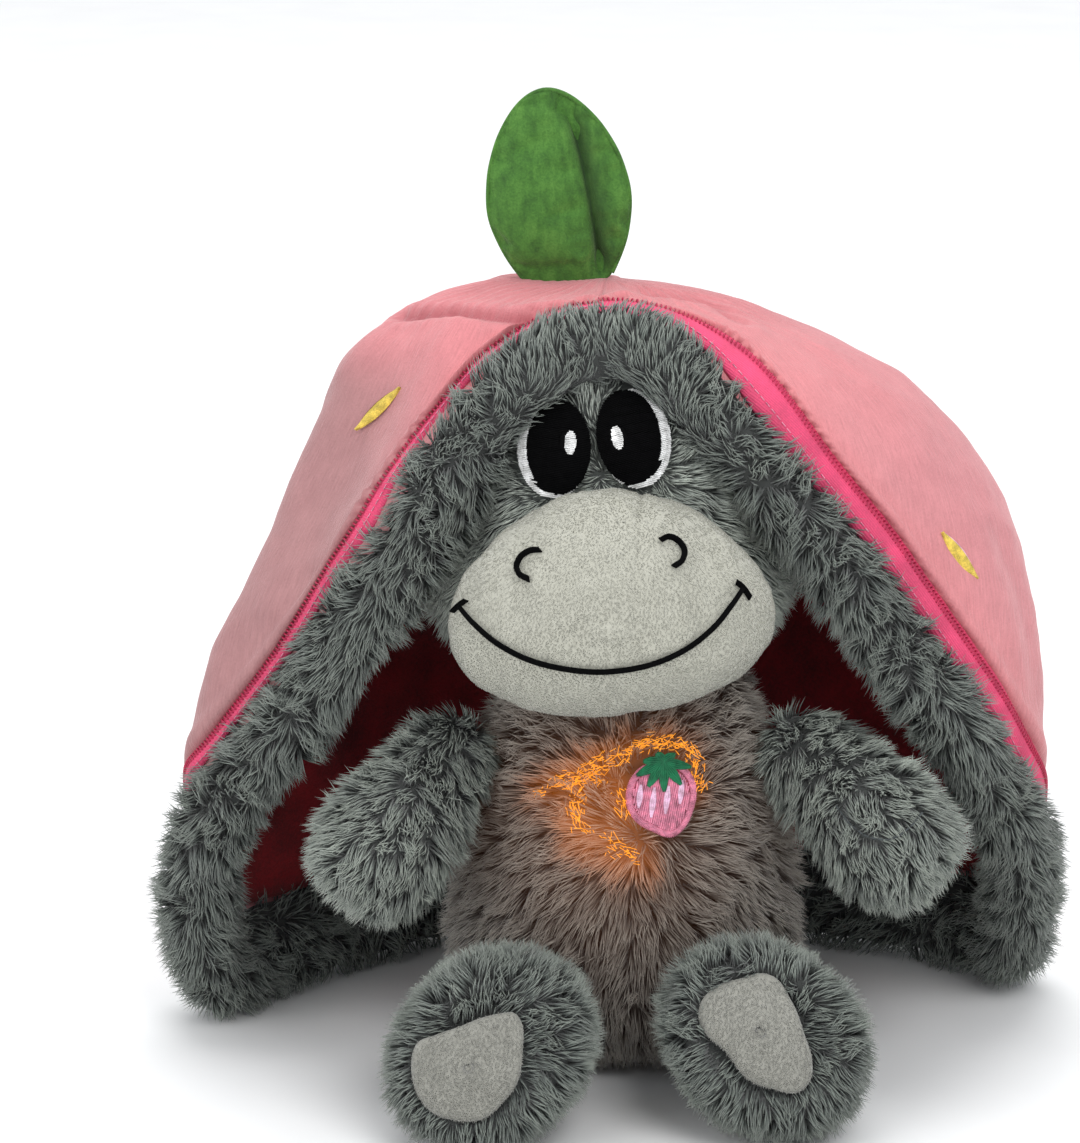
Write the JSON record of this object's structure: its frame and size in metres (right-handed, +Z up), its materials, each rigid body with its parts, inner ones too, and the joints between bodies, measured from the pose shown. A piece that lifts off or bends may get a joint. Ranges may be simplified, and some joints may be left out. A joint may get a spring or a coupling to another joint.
{
  "type": "breathing plush toy",
  "caption": "Seated plush donkey under an open strawberry hood, with a motor-driven belly that rises and sinks as if breathing and a glowing chest.",
  "frame": {"origin": "on the floor, at the centre of the toy's bounding box seen from above", "axes": "+Z up, the toy faces -Y, +X is to the right of someone who faces it"},
  "size_m": [0.2967, 0.2367, 0.3127],
  "materials": {
    "fur": "long grey pile",
    "short_pile": "short light-grey pile",
    "pink_velour": "short pink pile",
    "lining": "crimson plush",
    "zip_tape": "woven tape with moulded teeth",
    "zip_metal": "enamelled",
    "leaf_plush": "short green pile",
    "black_thread": "satin stitch",
    "white_thread": "satin stitch",
    "berry_satin": "satin stitch",
    "green_thread": "satin stitch",
    "case_plastic": "moulded",
    "gear_plastic": "moulded",
    "button_plastic": "moulded",
    "motor_steel": "plated",
    "cell_sleeve": "printed sleeve without words",
    "board": "coated board",
    "lamp_lens": "orange lens"
  },
  "bodies": {
    "toy": {"torso_body": "fur", "back_closure": "fur", "head": "fur", "muzzle": "short_pile", "left_eye_white": "white_thread", "left_eye_pupil": "black_thread", "left_nostril": "black_thread", "right_eye_white": "white_thread", "right_eye_pupil": "black_thread", "right_nostril": "black_thread", "smile_stitch": "black_thread", "case_front": "case_plastic", "case_rear": "case_plastic", "battery_door": "case_plastic", "cell_tray": "case_plastic", "cell_1": "cell_sleeve", "cell_2": "cell_sleeve", "cell_3": "cell_sleeve", "gear_deck": "case_plastic", "motor": "motor_steel", "circuit_board": "board", "speaker": "motor_steel", "left_lamp": "lamp_lens", "right_lamp": "lamp_lens", "screw_1": "motor_steel", "screw_2": "motor_steel", "screw_3": "motor_steel", "screw_4": "motor_steel", "hood_rear_panel": "pink_velour", "hood_rear_lining": "lining", "brow_roll": "fur", "rear_hem_roll": "fur", "brow_zip_tape": "zip_tape"},
    "power_key": {"power_button": "button_plastic"},
    "volume_key": {"volume_button": "button_plastic"},
    "cam": {"cam_gear": "gear_plastic"},
    "idler": {"idler_gear": "gear_plastic"},
    "motor_gear": {"motor_pinion": "gear_plastic"},
    "breather": {"breathing_plate": "case_plastic", "belly_panel": "fur", "berry_patch": "berry_satin", "berry_calyx": "green_thread"},
    "left_arm": {"left_arm": "fur"},
    "right_arm": {"right_arm": "fur"},
    "left_leg": {"left_leg": "fur", "left_sole": "short_pile"},
    "right_leg": {"right_leg": "fur", "right_sole": "short_pile"},
    "left_flap": {"left_hood_panel": "pink_velour", "left_hood_lining": "lining", "left_fur_roll": "fur", "left_zip_tape": "zip_tape"},
    "right_flap": {"right_hood_panel": "pink_velour", "right_hood_lining": "lining", "right_fur_roll": "fur", "right_zip_tape": "zip_tape"},
    "slider": {"zip_slider": "zip_metal"},
    "pull": {"zip_pull": "zip_metal"},
    "leaf": {"leaf": "leaf_plush"}
  },
  "joints": [
    {"name": "cam_spin", "type": "hinge", "parent": "toy", "child": "cam", "pos_m": [0.003, -0.0034, 0.072], "axis": [0, 1, 0], "range_deg": [0, 90]},
    {"name": "breath_slide", "type": "slide", "parent": "toy", "child": "breather", "axis": [0, -1, 0], "range_m": [0, 0.008]},
    {"name": "idler_spin", "type": "hinge", "parent": "toy", "child": "idler", "pos_m": [0.02048, -0.0034, 0.0593], "axis": [0, 1, 0], "range_deg": [-396, 0]},
    {"name": "motor_spin", "type": "hinge", "parent": "toy", "child": "motor_gear", "pos_m": [0.0301, -0.0034, 0.07208], "axis": [0, 1, 0], "range_deg": [0, 1188]},
    {"name": "power_press", "type": "slide", "parent": "toy", "child": "power_key", "axis": [0, -1, 0], "range_m": [0, 0.001], "stiffness_N_per_m": 400, "springref_m": -0.0005},
    {"name": "volume_press", "type": "slide", "parent": "toy", "child": "volume_key", "axis": [0, -1, 0], "range_m": [0, 0.001], "stiffness_N_per_m": 400, "springref_m": -0.0005},
    {"name": "left_hug", "type": "hinge", "parent": "toy", "child": "left_arm", "pos_m": [-0.04553, -0.012, 0.11], "axis": [0, 0, 1], "range_deg": [0, 22], "stiffness_Nm_per_rad": 0.05},
    {"name": "right_hug", "type": "hinge", "parent": "toy", "child": "right_arm", "pos_m": [0.05153, -0.012, 0.11], "axis": [0, 0, -1], "range_deg": [0, 22], "stiffness_Nm_per_rad": 0.05},
    {"name": "left_splay", "type": "hinge", "parent": "toy", "child": "left_leg", "pos_m": [-0.037, -0.05, 0.02164], "axis": [0, 0, -1], "range_deg": [0, 22], "stiffness_Nm_per_rad": 0.05},
    {"name": "right_splay", "type": "hinge", "parent": "toy", "child": "right_leg", "pos_m": [0.043, -0.05, 0.01988], "axis": [0, 0, 1], "range_deg": [0, 22], "stiffness_Nm_per_rad": 0.05},
    {"name": "left_flap_lift", "type": "hinge", "parent": "toy", "child": "left_flap", "pos_m": [-0.03425, 0.012, 0.254], "axis": [0, 1, 0], "range_deg": [0, 24]},
    {"name": "right_flap_lift", "type": "hinge", "parent": "toy", "child": "right_flap", "pos_m": [0.03425, 0.012, 0.254], "axis": [0, -1, 0], "range_deg": [0, 24]},
    {"name": "slider_run", "type": "slide", "parent": "right_flap", "child": "slider", "axis": [0.077, -0.8049, 0.5884], "range_m": [0, 0.008]},
    {"name": "pull_swing", "type": "hinge", "parent": "slider", "child": "pull", "pos_m": [0.14537, 0.03563, 0.05756], "axis": [-0.0245, -0.5915, -0.806], "range_deg": [0, 150]},
    {"name": "leaf_tilt", "type": "hinge", "parent": "toy", "child": "leaf", "pos_m": [-0.0155, 0.008, 0.2559], "axis": [1, 0, 0], "range_deg": [-25, 25], "stiffness_Nm_per_rad": 0.02}
  ],
  "couplings": [
    {"joint": "breath_slide", "follows": "cam_spin", "m_per_rad": 0.005093},
    {"joint": "idler_spin", "follows": "cam_spin", "ratio": -4.4},
    {"joint": "motor_spin", "follows": "cam_spin", "ratio": 13.2}
  ]
}
